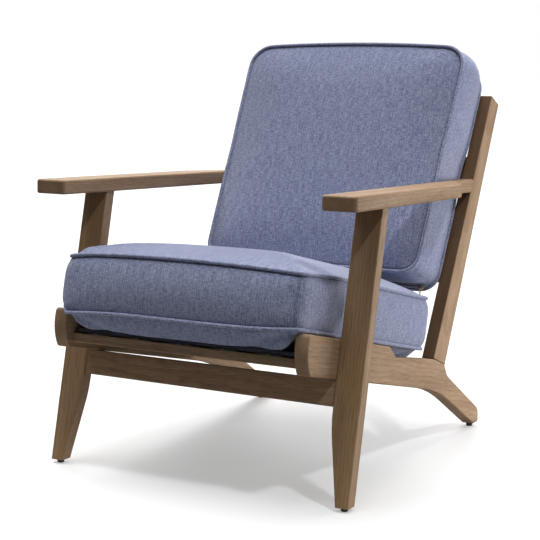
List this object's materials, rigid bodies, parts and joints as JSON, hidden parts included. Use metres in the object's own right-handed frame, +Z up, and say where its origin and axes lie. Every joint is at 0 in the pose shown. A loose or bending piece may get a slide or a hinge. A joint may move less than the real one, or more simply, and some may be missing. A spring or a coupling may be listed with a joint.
{
  "type": "accent armchair",
  "caption": "Low wooden lounge armchair with raked legs, paddle armrests and two loose welted box cushions on a sloped seat and a leaning back.",
  "frame": {"origin": "on the floor, under the middle of the chair's overall box", "axes": "+X to the right as seen from in front, +Y to the back, so the chair faces -Y, +Z up"},
  "size_m": [0.7194, 0.8692, 0.843],
  "materials": {
    "stained_wood": "satin",
    "dowel_wood": "matte",
    "zinc_steel": "satin",
    "glide_plastic": "matte",
    "cushion_fabric": "matte",
    "cushion_foam": "matte",
    "deck_fabric": "matte",
    "webbing": "matte",
    "zip_tape": "matte",
    "zip_metal": "satin"
  },
  "bodies": {
    "frame": {"left_side_plank": "stained_wood", "right_side_plank": "stained_wood", "left_front_leg": "stained_wood", "right_front_leg": "stained_wood", "left_back_post": "stained_wood", "right_back_post": "stained_wood", "left_armrest": "stained_wood", "right_armrest": "stained_wood", "front_apron": "stained_wood", "front_seat_rail": "stained_wood", "rear_seat_rail": "stained_wood", "back_slat_bottom": "stained_wood", "back_slat_lower": "stained_wood", "back_slat_upper": "stained_wood", "back_slat_top": "stained_wood", "arm_front_dowels": "dowel_wood", "arm_rear_dowels": "dowel_wood", "post_dowels": "dowel_wood", "leg_bolts": "zinc_steel", "leg_inserts": "zinc_steel", "left_front_glide": "glide_plastic", "right_front_glide": "glide_plastic", "left_rear_glide": "glide_plastic", "right_rear_glide": "glide_plastic", "seat_deck_pad": "deck_fabric", "seat_webbing": "webbing"},
    "seat_cushion": {"seat_cover": "cushion_fabric", "seat_foam": "cushion_foam", "seat_bottom_welt": "cushion_fabric", "seat_top_welt": "cushion_fabric", "seat_zip": "zip_tape"},
    "back_cushion": {"back_cover": "cushion_fabric", "back_foam": "cushion_foam", "back_rear_welt": "cushion_fabric", "back_front_welt": "cushion_fabric", "back_zip": "zip_tape"},
    "seat_zip_slide": {"seat_zip_slider": "zip_metal", "seat_zip_pull": "zip_metal"},
    "back_zip_slide": {"back_zip_slider": "zip_metal", "back_zip_pull": "zip_metal"}
  },
  "joints": [
    {"name": "seat_cushion_slide", "type": "slide", "parent": "frame", "child": "seat_cushion", "axis": [0, -0.9724, 0.2334], "range_m": [0, 0.2]},
    {"name": "back_cushion_lift", "type": "slide", "parent": "frame", "child": "back_cushion", "axis": [0, -0.7071, 0.7071], "range_m": [0, 0.12]},
    {"name": "seat_zip_run", "type": "slide", "parent": "seat_cushion", "child": "seat_zip_slide", "axis": [-1, 0, 0], "range_m": [0, 0.465]},
    {"name": "back_zip_run", "type": "slide", "parent": "back_cushion", "child": "back_zip_slide", "axis": [-1, 0, 0], "range_m": [0, 0.465]}
  ]
}
